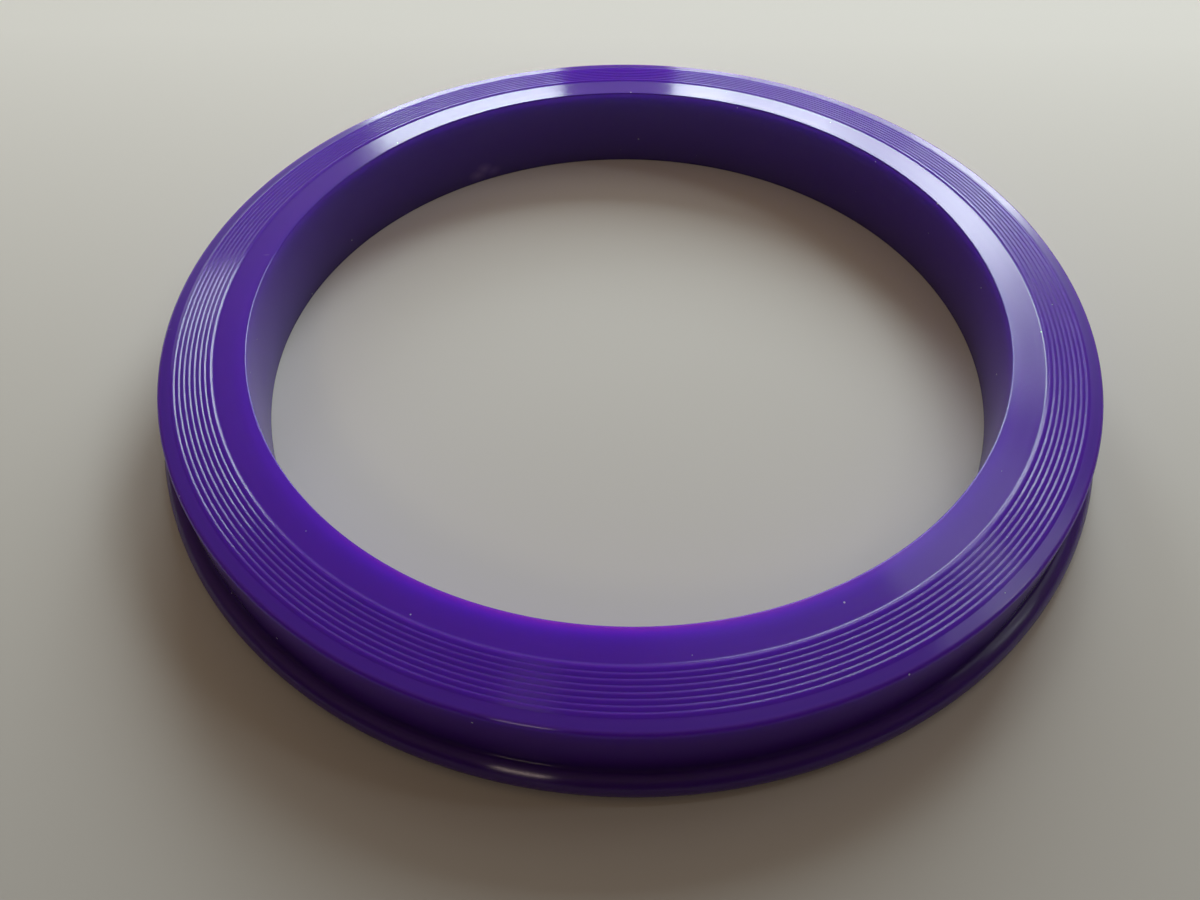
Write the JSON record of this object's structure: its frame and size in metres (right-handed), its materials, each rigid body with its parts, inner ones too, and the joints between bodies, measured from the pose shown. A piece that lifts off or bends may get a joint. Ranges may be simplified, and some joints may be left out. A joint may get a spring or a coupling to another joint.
{
  "type": "hammer union seal ring",
  "caption": "Violet polyurethane seal ring for a hammer union: a thick ring with a fine-ridged conical sealing face, a straight outer wall and a round locking bead at its foot.",
  "frame": {"origin": "centre of the flat back face, on the ring's axis", "axes": "+Z along the bore axis, from the flat back face to the ridged sealing face"},
  "size_m": [0.0968, 0.0968, 0.0098],
  "materials": {
    "polyurethane": "satin, slightly translucent, turned"
  },
  "bodies": {
    "root": {"seal_ring": "polyurethane"}
  },
  "joints": []
}
